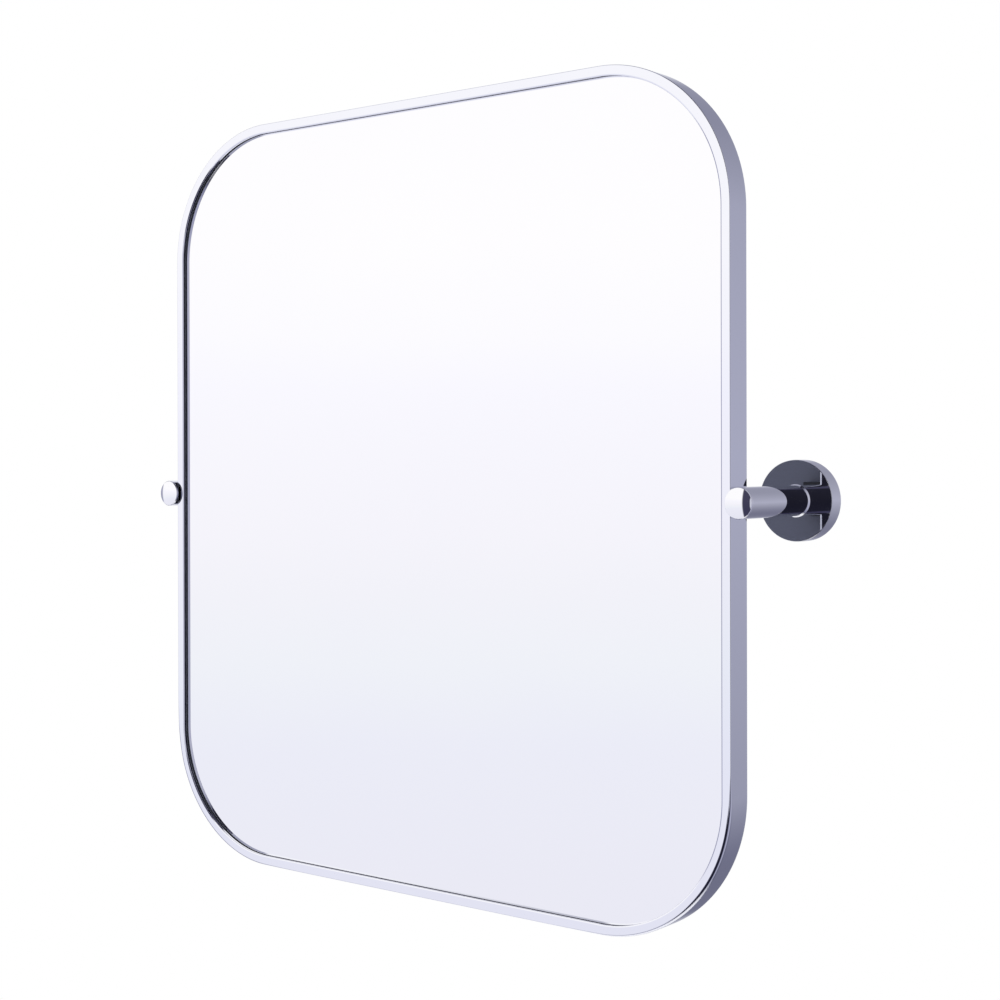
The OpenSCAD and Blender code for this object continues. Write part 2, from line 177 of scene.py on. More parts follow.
@dataclass(frozen=True)
class Finish:
    """A finish: its colours, how it shines, and the sizes of its patterns in millimetres."""

    name: str
    slot: str
    base: str
    shade: str
    metallic: float
    roughness: tuple[float, float]
    grain: Grain
    grain_mm: float
    bump_mm: float
    patch_mm: float
    spangle: bool = False

    def material(self) -> bpy.types.Material:
        """Makes the material, or finds it where it has been made.

        A slow noise wanders between the two colours, a fine one roughens the gloss and
        raises the bump. On spangled zinc, the fine pattern is Voronoi cells instead.

        Returns:
            The material.
        """
        made = bpy.data.materials.get(self.name)
        if made:
            return made
        made = bpy.data.materials.new(self.name)
        graph = Graph(made)
        place = graph.add("TexCoord", "Object")
        run = graph.add("Mapping", "Vector", {"Vector": place, "Scale": self.grain.value})
        per_m = 1 / (self.grain_mm * MM)
        if self.spangle:
            cells = graph.add("TexVoronoi", "Color", {"Vector": run, "Scale": per_m})
            fine = graph.add("SeparateColor", "Red", {"Color": cells})
        else:
            fine = graph.add("TexNoise", "Fac", {"Vector": run, "Scale": per_m, "Detail": 3.0})
        per_m = 1 / (self.patch_mm * MM)
        patches = graph.add("TexNoise", "Fac", {"Vector": place, "Scale": per_m, "Detail": 2.0})
        both = graph.math_of("MULTIPLY", fine, patches)
        colour = graph.blend_of(patches, linear(self.base), linear(self.shade))
        (low, high), (smooth, rough) = NOISE_RANGE, self.roughness
        gloss = graph.add("MapRange", "Result",
                          {"Value": both, 1: low, 2: high, 3: smooth, 4: rough})
        sockets: Sockets = {"Base Color": colour, "Metallic": self.metallic, "Roughness": gloss}
        if self.bump_mm > 0:
            sockets["Normal"] = graph.add("Bump", "Normal",
                                          {"Height": fine, "Distance": self.bump_mm * MM})
        graph.node("OutputMaterial", {"Surface": graph.add("BsdfPrincipled", "BSDF", sockets)})
        return made


# Silvered float glass: its tin side is optically flat, so only a breath of haze shows.
SILVERED_GLASS = Finish("silvered_float_glass", "mirror_glass", "#FFFFFF", "#FDFDFF", 1.0,
                        (0.002, 0.008), Grain.EVEN, 9, 0, 160)
# The cut edge of float glass: ground matt, grey-green.
GROUND_EDGE = Finish("ground_glass_edge", "mirror_glass", "#9DB3AC", "#8AA39B", 0.0,
                     (0.35, 0.6), Grain.EVEN, 0.4, 0.01, 20)
# The paint over the silvering: dull grey, rolled on.
BACKING_PAINT = Finish("mirror_backing_paint", "mirror_glass", "#7E8288", "#74787F", 0.0,
                       (0.5, 0.7), Grain.EVEN, 1.5, 0.02, 40)
# Stainless steel, rolled to a channel and buffed to a mirror: a trace of haze along the buff.
POLISHED_STEEL = Finish("buffed_stainless_steel", "polished_steel", "#F7F8FD", "#F4F5FC", 1.0,
                        (0.015, 0.05), Grain.ALONG_Z, 1.2, 0, 120)
# Chromium plate on buffed brass: bluish and hard, without grain.
CHROMED_BRASS = Finish("chromium_plated_brass", "chromed_brass", "#FEFEFF", "#FBFBFE", 1.0,
                       (0.01, 0.035), Grain.EVEN, 3, 0, 45)
# Zinc plate, clear passivated: bluish grey, in small dull cells.
ZINC_PLATE = Finish("clear_zinc_plated_steel", "zinc_plated_steel", "#C3C7D0", "#A9AEBA", 1.0,
                    (0.24, 0.42), Grain.EVEN, 0.9, 0.004, 12, spangle=True)
# Turned free-cutting steel: fine marks of the tool, drawn as upright lines across the pin.
TURNED_STEEL = Finish("turned_free_cutting_steel", "steel", "#C9CBD1", "#B5B8C0", 1.0,
                      (0.18, 0.34), Grain.ALONG_Z, 0.3, 0.004, 8)
# Hardened spring steel, blued and oiled.
SPRING_STEEL = Finish("oiled_spring_steel", "spring_steel", "#8A8D96", "#747883", 1.0,
                      (0.25, 0.45), Grain.EVEN, 0.5, 0.003, 6)
# Black oxide on alloy steel: a thin dark film, a little glossy where it is oiled.
BLACK_OXIDE = Finish("black_oxide_alloy_steel", "black_steel", "#3B3C41", "#2A2B30", 0.8,
                     (0.3, 0.5), Grain.EVEN, 0.5, 0.005, 5)
# Die-cast zinc, tumbled: grey with a soft orange-peel skin.
CAST_ZINC = Finish("tumbled_die_cast_zinc", "zinc_alloy", "#B9BCC4", "#A0A4AD", 1.0,
                   (0.34, 0.52), Grain.EVEN, 1.1, 0.02, 14)
# Nylon 6, moulded: milky, with the mould's fine spark texture.
NYLON = Finish("moulded_natural_nylon", "nylon", "#F1F0E8", "#E6E5DB", 0.0,
               (0.35, 0.5), Grain.EVEN, 0.5, 0.01, 6)
# Closed-cell glazing foam: dark grey, matt, with cells of a third of a millimetre.
GLAZING_FOAM = Finish("closed_cell_glazing_foam", "glazing_foam", "#6C7078", "#5D6169", 0.0,
                      (0.8, 0.95), Grain.EVEN, 0.5, 0.05, 15)
# White polyethylene foam sheet behind the glass.
WHITE_FOAM = Finish("white_polyethylene_foam", "white_foam", "#F4F4F0", "#EBEBE6", 0.0,
                    (0.7, 0.9), Grain.EVEN, 1.0, 0.05, 30)
# Hardboard with a coat of dark grey paint: the roller's stipple over pressed fibres.
PAINTED_BOARD = Finish("slate_painted_hardboard", "painted_board", "#585C6E", "#4E5264", 0.0,
                       (0.42, 0.66), Grain.ALONG_X, 1.6, 0.06, 70)


# ---------- Surfaces ----------


def rounded(corners: list[Row], closed: bool = False, steps: int = 6) -> np.ndarray:
    """Rounds the corners of a flat profile.

    Each corner becomes an arc tangent to both of its sides. The arc's centre lies on the
    corner's bisector, at fillet / sin(half the corner's angle), and its points are the two
    tangent radii blended over the turn between them. A guard point just outside each end of
    an arc keeps the shading of the flats level.

    Args:
        corners: Rows of (first, second, fillet, ...), with any values that go with a corner
            after its fillet. A fillet of 0 keeps the corner as it is.
        closed: Whether the last corner runs on to the first.
        steps: Segments in an arc.

    Returns:
        Rows of (first, second, ...) with the same values after them.
    """
    rows = np.array(corners, float)
    spot, fillet, rest = rows[:, :2], rows[:, 2:3], rows[:, 3:]
    if not closed:
        fillet[[0, -1]] = 0
    back = np.roll(spot, 1, 0) - spot
    ahead = np.roll(spot, -1, 0) - spot
    back /= np.linalg.norm(back, axis=1, keepdims=True) + WELD
    ahead /= np.linalg.norm(ahead, axis=1, keepdims=True) + WELD
    angle = np.arccos(np.clip((back * ahead).sum(1, keepdims=True), -1, 1))
    middle = back + ahead
    middle /= np.linalg.norm(middle, axis=1, keepdims=True) + WELD
    reach = fillet / np.maximum(np.tan(angle / 2), WELD)
    centre = spot + middle * fillet / np.maximum(np.sin(angle / 2), WELD)
    turn = np.maximum(math.pi - angle, WELD)[:, None]
    share = np.linspace(0, 1, steps + 1)[None, :, None]
    start = (spot + back * reach - centre)[:, None]
    end = (spot + ahead * reach - centre)[:, None]
    arc = start * np.sin((1 - share) * turn) + end * np.sin(share * turn)
    arc = centre[:, None] + arc / np.sin(turn)
    before = (spot + back * (reach + GUARD))[:, None]
    after = (spot + ahead * (reach + GUARD))[:, None]
    arc = np.concatenate([before, arc, after], 1)
    arc[:, :1][fillet[:, 0] == 0] = spot[fillet[:, 0] == 0][:, None]
    keep = (fillet > 0) | (np.arange(steps + 3)[None] == 0)
    values = np.repeat(rest[:, None], steps + 3, 1)
    return np.concatenate([arc, values], 2)[keep]


def lattice(points: np.ndarray, wrap_rows: bool) -> np.ndarray:
    """Corners of the quads between the rows and columns of a grid of points.

    The last column joins the first.

    Args:
        points: Grid of shape (rows, columns, 3).
        wrap_rows: Whether the last row joins the first too.

    Returns:
        Vertex numbers, four to a quad.
    """
    rows, columns = points.shape[:2]
    number = np.arange(rows * columns).reshape(rows, columns)
    if wrap_rows:
        number = np.concatenate([number, number[:1]], 0)
    number = np.concatenate([number, number[:, :1]], 1)
    quads = np.stack([number[:-1, :-1], number[1:, :-1], number[1:, 1:], number[:-1, 1:]], -1)
    return quads.reshape(-1, 4)


@dataclass
class Skin:
    """The points and quads of a mesh, with the finish number of each quad."""

    points: np.ndarray
    quads: np.ndarray
    finish: np.ndarray

    @classmethod
    def of(cls, points: np.ndarray, wrap_rows: bool = False) -> Skin:
        """Makes a skin of one grid of points, in millimetres, whose rows are closed rings."""
        quads = lattice(points, wrap_rows)
        return cls(points.reshape(-1, 3), quads, np.zeros(len(quads), int))

    def plus(self, other: Skin) -> Skin:
        """Joins another skin to this one."""
        quads = np.concatenate([self.quads, other.quads + len(self.points)])
        points = np.concatenate([self.points, other.points])
        return Skin(points, quads, np.concatenate([self.finish, other.finish]))

    def mesh(self, name: str) -> bpy.types.Mesh:
        """Puts the skin into a new mesh, in metres, and mends it."""
        mesh = bpy.data.meshes.new(name)
        mesh.from_pydata((self.points * MM).tolist(), [], self.quads.tolist())
        mesh.polygons.foreach_set("material_index", self.finish.astype(np.int32))
        mend(mesh, WELD)
        return mesh


def link_object(name: str, data: bpy.types.ID) -> bpy.types.Object:
    """Puts a mesh, lamp or camera into the scene as an object."""
    made = bpy.data.objects.new(name, data)
    bpy.context.scene.collection.objects.link(made)
    return made


def make_piece(
    name: str, skin: Skin, finishes: list[Finish], body: str, node: str
) -> bpy.types.Object:
    """Makes a piece of a skin: a closed mesh with faces outwards, dressed and on its body.

    Points that fall together at poles and seams are welded. Shading is smooth except across
    edges sharper than SHARP.

    Args:
        name: The piece's name.
        skin: Its points in millimetres, and its quads.
        finishes: Its finishes, in the order of the skin's finish numbers.
        body: The body it rides on.
        node: The node it stands for.

    Returns:
        The piece.
    """
    mesh = skin.mesh(name)
    piece = link_object(name, mesh)
    for finish in finishes:
        mesh.materials.append(finish.material())
    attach(piece, body)
    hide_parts(node)
    log.info("%s: %d faces, %s, on %s", name, len(mesh.polygons), finishes[0].name, body)
    return piece


def mend(mesh: bpy.types.Mesh, reach: float, slits: bool = False) -> None:
    """Welds a mesh's doubles, turns its faces outwards and sets its shading.

    Args:
        mesh: The mesh, which is changed in place.
        reach: Points closer than this, in metres, become one.
        slits: Whether the slits that a cut leaves are filled too.
    """
    work = bmesh.new()
    work.from_mesh(mesh)
    bmesh.ops.remove_doubles(work, verts=work.verts, dist=reach)
    if slits:
        bmesh.ops.holes_fill(work, edges=work.edges, sides=0)
    bmesh.ops.recalc_face_normals(work, faces=work.faces)
    work.to_mesh(mesh)
    work.free()
    mesh.shade_smooth()
    mesh.set_sharp_from_angle(angle=SHARP)


def drill(piece: bpy.types.Object, *cutters: Skin) -> None:
    """Cuts holes or slots through a piece, and leaves the cut in its mesh.

    Args:
        piece: The piece.
        *cutters: Closed skins, in millimetres, of what is taken away.
    """
    for skin in cutters:
        mesh = skin.mesh("cutter")
        tool = link_object("cutter", mesh)
        cut = piece.modifiers.new("cut", "BOOLEAN")
        cut.operation = "DIFFERENCE"
        cut.solver = "EXACT"
        cut.object = tool
        depsgraph = bpy.context.evaluated_depsgraph_get()
        result = bpy.data.meshes.new_from_object(piece.evaluated_get(depsgraph))
        piece.modifiers.clear()
        old = piece.data
        name = old.name
        piece.data = result
        bpy.data.meshes.remove(old)
        bpy.data.objects.remove(tool)
        bpy.data.meshes.remove(mesh)
        result.name = name
        mend(result, CUT_WELD, slits=True)


@dataclass(frozen=True)
class Spindle:
    """The line that a turned piece is built on: where it starts, its run, and where 0 is."""

    origin: tuple[float, float, float]
    run: tuple[float, float, float]
    zero: tuple[float, float, float]

    def carry(self, radii: np.ndarray, heights: np.ndarray, angles: np.ndarray) -> np.ndarray:
        """Places a polar grid on the line.

        A point is origin + run * height + radius * (zero * cos(angle) + side * sin(angle)),
        where side is square to run and zero.

        Args:
            radii: Radius of each point, of shape (rows, columns).
            heights: Height of each row.
            angles: Angle of each column, in radians.

        Returns:
            Points of shape (rows, columns, 3), in millimetres.
        """
        run, zero = np.array(self.run), np.array(self.zero)
        side = np.cross(run, zero)
        spoke = zero * np.cos(angles)[:, None] + side * np.sin(angles)[:, None]
        stem = np.array(self.origin) + run * np.asarray(heights, float).reshape(-1, 1)
        return stem[:, None] + radii[..., None] * spoke[None]

    def turn(
        self, corners: list[Row], closed: bool = False, columns: int = 96, steps: int = 6
    ) -> Skin:
        """Turns a profile round the line.

        A corner is (radius, height, fillet, sides). With sides of 6, its row is a hexagon
        with a corner at angle 0, and the radius is half the size across its flats:
        radius / cos(angle past the middle of the flat). With sides of 0, the row is round.

        Args:
            corners: The profile's corners.
            closed: Whether the profile is a closed loop, as on a ring.
            columns: Points round the line, a multiple of twelve.
            steps: Segments in a fillet.

        Returns:
            The skin of the turned piece.
        """
        rows = rounded([tuple(c) + (0,) * (4 - len(c)) for c in corners], closed, steps)
        angles = np.arange(columns) * (2 * math.pi / columns)
        sixth = math.pi / 3
        past = angles % sixth - sixth / 2
        flats = np.where(rows[:, 2:3] > 0, 1 / np.cos(past)[None], 1.0)
        grid = self.carry(rows[:, :1] * flats, rows[:, 1], angles)
        return Skin.of(grid, wrap_rows=closed)

    def drum(self, radius: float, height: float, columns: int = 96) -> Skin:
        """A plain round cutter from the line's start."""
        return self.turn([(0, 0), (radius, 0), (radius, height), (0, height)], columns=columns)

    def ring(
        self, bore: float, rim: float, height: float, edges: tuple[float, float, float]
    ) -> Skin:
        """A plain ring, with the fillets of its bore, of its rim's start and of its rim's end."""
        inner, start, end = edges
        return self.turn([(bore, 0, inner), (rim, 0, start), (rim, height, end),
                          (bore, height, inner)], closed=True, steps=3)


def upright(z: float = 0) -> Spindle:
    """The line that runs up along Z from a height."""
    return Spindle((0, 0, z), (0, 0, 1), (1, 0, 0))


def prism(
    half: tuple[float, float, float], centre: tuple[float, float, float], edge: float
) -> Skin:
    """A block with rounded long edges and chamfered ends, standing along Z.

    Its rows are copies of one rounded rectangle, drawn in by the edge at both ends and then
    to the middle.

    Args:
        half: Half sizes along X, Y and Z.
        centre: Its centre.
        edge: Radius of the long edges, and the depth of the chamfers.

    Returns:
        The block's skin.
    """
    corners = [(-half[0], -half[1]), (half[0], -half[1]), (half[0], half[1]), (-half[0], half[1])]
    ring = rounded([c + (edge,) for c in corners], closed=True, steps=4)
    tall = half[2]
    drawn = 1 - edge / min(half[:2]) / 2
    shrink = np.array([0, drawn, 1, 1, drawn, 0])
    height = np.array([-tall, -tall, edge / 2 - tall, tall - edge / 2, tall, tall])
    flat = ring[None] * shrink[:, None, None]
    level = np.broadcast_to(height[:, None, None], flat.shape[:2] + (1,))
    return Skin.of(np.concatenate([flat, level], 2) + np.array(centre))


@dataclass(frozen=True)
class Outline:
    """The rounded rectangle that the frame follows, in millimetres."""

    width: float
    height: float
    radius: float

    def points(self, inset: np.ndarray, arc_steps: int = 72) -> np.ndarray:
        """Points on copies of the outline, drawn in by given insets.

        On a corner, a point is the corner's centre + (radius - inset) along its angle. On a
        straight it slides between the ends of two corners. The straights have points close
        to the corners, so that their shading stays level.

        Args:
            inset: How far each row is drawn in.
            arc_steps: Segments in a corner.

        Returns:
            X and Z of shape (rows, columns, 2).
        """
        quarter = np.arange(4)[:, None]
        angle = quarter * math.pi / 2 + np.linspace(0, math.pi / 2, arc_steps + 1)[None]
        spread = np.array([self.width / 2 - self.radius, self.height / 2 - self.radius])
        corner = np.array([(1, 1), (-1, 1), (-1, -1), (1, -1)]) * spread
        spoke = np.stack([np.cos(angle), np.sin(angle)], -1)
        reach = (self.radius - np.asarray(inset, float))[:, None, None, None]
        arcs = corner[None, :, None] + reach * spoke[None]
        slide = np.concatenate([[0.004], np.linspace(0.05, 0.95, 13), [0.996]])[:, None]
        ends = np.roll(arcs, -1, 1)[:, :, :1]
        straights = arcs[:, :, -1:] * (1 - slide) + ends * slide
        return np.concatenate([arcs, straights], 2).reshape(len(reach), -1, 2)

    def carry(
        self, corners: list[Row], front_y: float, closed: bool = True, steps: int = 6
    ) -> Skin:
        """Carries a profile round the outline.

        Args:
            corners: The profile as (inset, depth, fillet), with the depth measured from
                front_y towards the wall.
            front_y: Y of the profile's zero depth.
            closed: Whether the profile is a closed loop. An open one makes a plate: its
                first and last rows are drawn in to the middle.
            steps: Segments in a fillet.

        Returns:
            The skin, in millimetres.
        """
        rows = rounded(corners, closed, steps)
        flat = self.points(rows[:, 0])
        if not closed:
            flat = np.concatenate([flat[:1] * 0, flat, flat[-1:] * 0])
            rows = np.concatenate([rows[:1], rows, rows[-1:]])
        depth = np.broadcast_to((front_y + rows[:, 1])[:, None], flat.shape[:2])
        grid = np.stack([flat[..., 0], depth, flat[..., 1]], -1)
        return Skin.of(grid, wrap_rows=closed)

    def plate(self, inset: float, thickness: float, edge: float, front_y: float) -> Skin:
        """A plate with chamfered edges, drawn in from the outline by an inset."""
        return self.carry([(inset + edge, 0, 0), (inset, edge, 0), (inset, thickness - edge, 0),
                           (inset + edge, thickness, 0)], front_y, closed=False)


class Side(Enum):
    """A side of the mirror, as the sign of its X."""

    LEFT = -1
    RIGHT = 1

    def name_of(self, piece: str) -> str:
        """The name of a piece on this side."""
        return f"{self.name.lower()}_{piece}"


# ---------- The mirror ----------


@dataclass
class MirrorPanel:
    """The glass in its channel frame, with the board and the clips behind it."""

    width: float = 540
    height: float = 600
    corner_radius: float = 105
    lip_y: float = -85.9
    depth: float = 21
    lip: float = 7.5
    hem: float = 2.6
    hem_lean: float = 0.4
    sheet: float = 1.2
    inner_bend: float = 0.3
    slope: float = 1.0
    slope_drop: float = 0.42
    outer_bend: float = 0.5
    low_bend: float = 2.6
    low_bend_onset: float = 3
    glass: float = 4
    glass_front: float = 3.8
    glass_inset: float = 1.7
    foam: float = 0.6
    foam_margin: float = 12
    foam_edge: float = 0.1
    board: float = 3
    plate_edge: float = 0.4
    tape_inner: float = 5.7
    pin_hole_radius: float = 3.05
    pin_hole_reach: float = 6
    pivot_y: float = -70
    clip_leg: float = 13
    clip_rise: float = 7
    clip_width: float = 14
    clip_sheet: float = 1.2
    clip_edge: float = 0.25
    side_clip_z: float = 125
    end_clip_x: float = 105
    screw_radius: float = 1.5
    screw_head_radius: float = 2.8
    screw_head: float = 1.8
    screw_bite: float = 2.4
    slot_reach: float = 0.62
    slot_half: float = 0.32
    slot_top: float = 0.4
    slot_edge: float = 0.05

    @property
    def outline(self) -> Outline:
        """The outline of the frame's outer side."""
        return Outline(self.width, self.height, self.corner_radius)

    @property
    def board_back(self) -> float:
        """Y of the board's back face."""
        return self.lip_y + self.glass_front + self.glass + self.foam + self.board

    def build(self) -> None:
        """Builds every piece of the panel."""
        self.channel()
        self.mirror_plate()
        self.liners()
        self.back_board()
        self.clips()

    def channel(self) -> None:
        """The frame: one closed profile with bent edges, carried round the outline.

        Its outer edge is bent tight along the sides and wider at the two lower corners. The
        skins with the two bends are blended by place: share * wide + (1 - share) * tight,
        where the share grows below the lower corners' centres and towards the sides. It sets
        in over a third of a corner's radius, smoothly: share^2 * (3 - 2 * share).
        """
        tight, wide = (self.outline.carry(self.channel_profile(bend), self.lip_y)
                       for bend in (self.outer_bend, self.low_bend))
        across, up = tight.points[:, :1], tight.points[:, 2:]
        radius, half_width = self.corner_radius, self.width / 2
        low = np.clip((radius - self.height / 2 - up) / radius * self.low_bend_onset + 0.5, 0, 1)
        low = low * low * (3 - 2 * low)
        share = low * np.clip((np.abs(across) - half_width / 2) / radius, 0, 1)
        tight.points = wide.points * share + tight.points * (1 - share)
        piece = make_piece("channel_frame", tight, [POLISHED_STEEL], MIRROR_BODY, "frame")
        for side in Side:
            line = pivot_line(side, (self.width - self.pin_hole_reach) / 2, self.pivot_y)
            drill(piece, line.drum(self.pin_hole_radius, self.pin_hole_reach))

    def channel_profile(self, outer_bend: float) -> list[Row]:
        """The channel's cross-section, as (inset, depth, bend) of its corners."""
        hem_foot = self.lip - self.hem_lean
        return [
            (0, 0, outer_bend), (self.lip - self.slope, 0, self.inner_bend),
            (self.lip, self.slope_drop, self.inner_bend), (hem_foot, self.hem, 0.25),
            (hem_foot - self.sheet, self.hem, 0.25), (self.lip - self.sheet, self.sheet, 0.15),
            (self.sheet, self.sheet, 0.3), (self.sheet, self.depth, 0.25), (0, self.depth, 0.25)]

    def mirror_plate(self) -> None:
        """The glass: a silvered face, a ground edge and a painted back."""
        skin = self.outline.plate(self.glass_inset, self.glass, self.plate_edge,
                                  self.lip_y + self.glass_front)
        face, edge, back = range(3)
        columns = len(self.outline.points(np.zeros(1))[0])
        skin.finish = np.repeat([face, edge, edge, edge, back], columns)
        finishes = [SILVERED_GLASS, GROUND_EDGE, BACKING_PAINT]
        make_piece("silvered_glass", skin, finishes, MIRROR_BODY, "mirror_glass")

    def liners(self) -> None:
        """The foam tape under the lip and the foam sheet behind the glass."""
        tape = [(self.glass_inset, self.sheet, 0.2), (self.tape_inner, self.sheet, 0.2),
                (self.tape_inner, self.glass_front, 0.2),
                (self.glass_inset, self.glass_front, 0.2)]
        skin = self.outline.carry(tape, self.lip_y, steps=3)
        make_piece("lip_tape", skin, [GLAZING_FOAM], MIRROR_BODY, "glazing_tape")
        skin = self.outline.plate(self.glass_inset + self.foam_margin, self.foam, self.foam_edge,
                                  self.lip_y + self.glass_front + self.glass)
        make_piece("foam_liner", skin, [WHITE_FOAM], MIRROR_BODY, "foam_sheet")

    def back_board(self) -> None:
        """The backing board, with eased edges and a pilot hole for each clip screw."""
        skin = self.outline.plate(self.glass_inset, self.board, self.plate_edge,
                                  self.board_back - self.board)
        piece = make_piece("back_board", skin, [PAINTED_BOARD], MIRROR_BODY, "backing_board")
        deep = self.screw_bite + PLAY
        pilot = upright(-deep).drum(self.screw_radius + PLAY, deep + OVERCUT, 48)
        drill(piece, self.at_clips(pilot, screws=True))

    def at_clips(self, skin: Skin, screws: bool) -> Skin:
        """Repeats a skin at each clip.

        The skin is drawn with x inwards along the board, y across the clip and z from the
        board's back towards the wall. A copy is turned by its clip's angle and moved there.

        Args:
            skin: The skin in the clip's own place.
            screws: Whether it stands at the clip's screw instead of its upturned leg.

        Returns:
            The eight copies as one skin.
        """
        side_x, end_z = self.width / 2 - self.sheet, self.height / 2 - self.sheet
        places = np.array([
            place
            for s in (-1, 1)
            for place in ((side_x, s * self.side_clip_z, 180), (-side_x, s * self.side_clip_z, 0),
                          (s * self.end_clip_x, end_z, 270), (s * self.end_clip_x, -end_z, 90))
        ])
        shift = (self.clip_sheet + self.clip_leg) / 2 if screws else 0
        turn = np.radians(places[:, 2])
        x, y, z = (skin.points + np.array([shift, 0, 0])).T
        across = np.cos(turn)[:, None] * x - np.sin(turn)[:, None] * y + places[:, :1]
        up = np.sin(turn)[:, None] * x + np.cos(turn)[:, None] * y + places[:, 1:2]
        deep = np.broadcast_to(self.board_back + z, across.shape)
        points = np.stack([across, deep, up], -1).reshape(-1, 3)
        step = np.arange(len(places))[:, None, None] * len(skin.points)
        quads = (skin.quads[None] + step).reshape(-1, 4)
        return Skin(points, quads, np.tile(skin.finish, len(places)))

    def clips(self) -> None:
        """The bent retaining clips, and the pan-head screws that hold them."""
        leg, rise, sheet = self.clip_leg, self.clip_rise, self.clip_sheet
        bent = rounded([
            (leg, sheet, 0.35), (sheet, sheet, 0.5), (sheet, rise, 0.35), (0, rise, 0.15),
            (0, 0, sheet + 0.4), (leg, 0, 0.15)], closed=True, steps=5)
        half, edge = self.clip_width / 2, self.clip_edge
        places = np.array([-half, edge - half, half - edge, half])
        flat = np.broadcast_to(bent, (len(places),) + bent.shape)
        wide = np.broadcast_to(places[:, None, None], flat.shape[:2] + (1,))
        grid = np.concatenate([flat[..., :1], wide, flat[..., 1:]], 2)
        body = Skin.of(grid).plus(clip_ends(bent, half))
        piece = make_piece("clip_angles", self.at_clips(body, False), [ZINC_PLATE],
                           MIRROR_BODY, "retaining_clips")
        hole = upright(-OVERCUT).drum(self.screw_radius + PLAY, sheet + 2 * OVERCUT, 48)
        drill(piece, self.at_clips(hole, True))
        head, top = self.screw_head_radius, self.clip_sheet + self.screw_head
        screw = upright().turn([
            (0, -self.screw_bite), (self.screw_radius - 0.5, -self.screw_bite, 0.1),
            (self.screw_radius, -self.screw_bite + 0.5, 0.1), (self.screw_radius, self.clip_sheet),
            (head, self.clip_sheet, 0.15), (head, top, 0.9), (0, top)], columns=48)
        piece = make_piece("clip_screw_set", self.at_clips(screw, True), [ZINC_PLATE],
                           MIRROR_BODY, "clip_screws")
        reach, half = head * self.slot_reach, self.slot_half
        for size in ((reach, half, 1), (half, reach, 1)):
            slot = prism(size, (0, 0, top + self.slot_top), self.slot_edge)
            drill(piece, self.at_clips(slot, True))


def clip_ends(bent: np.ndarray, half: float) -> Skin:
    """Closes the two ends of a bent clip with strips between its inner and outer faces.

    The profile's points are paired from its two sides, first with last, so that each strip
    runs straight through the sheet and follows the bend.

    Args:
        bent: The clip's closed profile: its inner face from the leg's tip to the riser's,
            and then its outer face back to the leg's tip.
        half: Half of the clip's width.

    Returns:
        The skin of both ends.
    """
    count = len(bent)
    pairs = count // 2
    first = np.arange(pairs)
    last = (count - 1 - first) % count
    quads = np.stack([first[:-1], first[1:], last[1:], last[:-1]], -1)
    left = np.insert(bent, 1, -half, axis=1)
    right = np.insert(bent, 1, half, axis=1)
    quads = np.concatenate([quads, quads + count])
    return Skin(np.concatenate([left, right]), quads, np.zeros(len(quads), int))


# ---------- The pivots ----------


def pivot_line(side: Side, x: float, pivot_y: float) -> Spindle:
    """The pivot's line on one side, running outwards from a distance x off the middle."""
    return Spindle((side.value * x, pivot_y, 0), (side.value, 0, 0), (0, 0, 1))


@dataclass
class Fitting:
    """What the fittings of one side share: the side, and where its post and pivot stand."""

    side: Side
    post_x: float = 277.5
    pivot_y: float = -70

    @property
    def x(self) -> float:
        """X of the post's own line."""
        return self.side.value * self.post_x

    def piece(
        self, word: str, skin: Skin, finish: Finish, node: str, body: str = WALL_BODY
    ) -> bpy.types.Object:
        """Makes a piece of this side for a node of this side."""
        return make_piece(self.side.name_of(word), skin, [finish], body, self.side.name_of(node))


